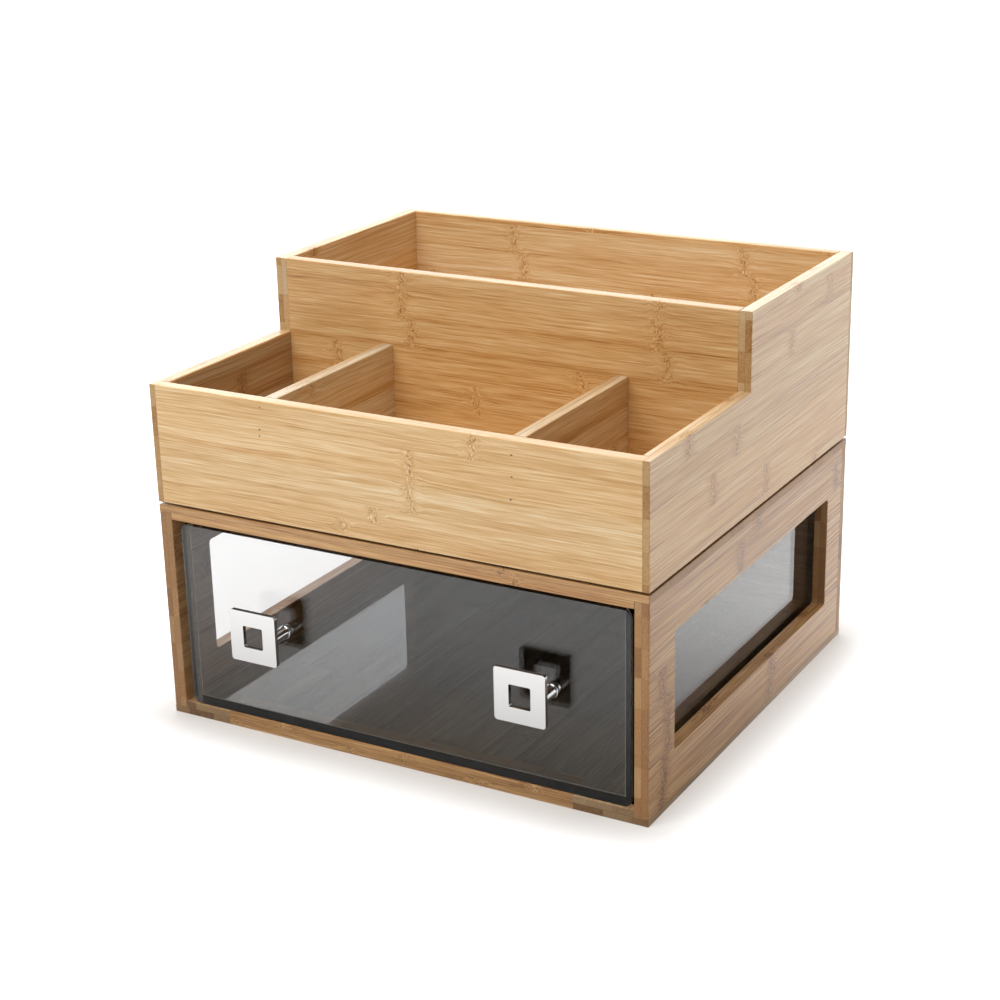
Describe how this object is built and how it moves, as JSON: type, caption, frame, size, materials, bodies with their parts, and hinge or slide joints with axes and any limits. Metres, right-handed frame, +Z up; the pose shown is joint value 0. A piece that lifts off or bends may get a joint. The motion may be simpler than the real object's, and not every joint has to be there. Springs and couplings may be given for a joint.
{
  "type": "coffee station organizer",
  "caption": "Bamboo counter organizer: a case with side windows and a smoked clear drawer on square knobs, under a stepped open tray of bins that lifts off.",
  "frame": {"origin": "centre of the case's underside, on the surface that it stands on", "axes": "+X to the right along the front, +Y from the front to the back, +Z up"},
  "size_m": [0.356, 0.3403, 0.2846],
  "materials": {
    "tray_bamboo": "laminated bamboo, clear satin lacquer",
    "case_bamboo": "laminated bamboo, clear satin lacquer, a little darker",
    "smoked_sheet": "smoked clear acrylic, polished",
    "polished_metal": "polished chrome plate",
    "screw_steel": "zinc-plated steel",
    "clear_pad": "clear soft pad"
  },
  "bodies": {
    "case": {"case_top_panel": "case_bamboo", "case_bottom_panel": "case_bamboo", "case_left_side": "case_bamboo", "case_right_side": "case_bamboo", "case_back_panel": "case_bamboo"},
    "tray": {"tray_front_panel": "tray_bamboo", "tray_left_side": "tray_bamboo", "tray_right_side": "tray_bamboo", "tray_middle_wall": "tray_bamboo", "tray_back_panel": "tray_bamboo", "tray_left_divider": "tray_bamboo", "tray_right_divider": "tray_bamboo", "divider_pins": "screw_steel", "tray_floor": "tray_bamboo", "tray_pads": "clear_pad"},
    "drawer": {"drawer_front": "smoked_sheet", "drawer_left_side": "smoked_sheet", "drawer_right_side": "smoked_sheet", "drawer_back": "smoked_sheet", "drawer_bottom": "smoked_sheet", "left_knob_plate": "polished_metal", "left_knob_post": "polished_metal", "left_knob_collar": "polished_metal", "left_knob_screw": "screw_steel", "right_knob_plate": "polished_metal", "right_knob_post": "polished_metal", "right_knob_collar": "polished_metal", "right_knob_screw": "screw_steel"}
  },
  "joints": [
    {"name": "drawer_slide", "type": "slide", "parent": "case", "child": "drawer", "axis": [0, -1, 0], "range_m": [0, 0.26]},
    {"name": "tray_lift_off", "type": "slide", "parent": "case", "child": "tray", "axis": [0, 0, 1], "range_m": [0, 0.15]}
  ]
}
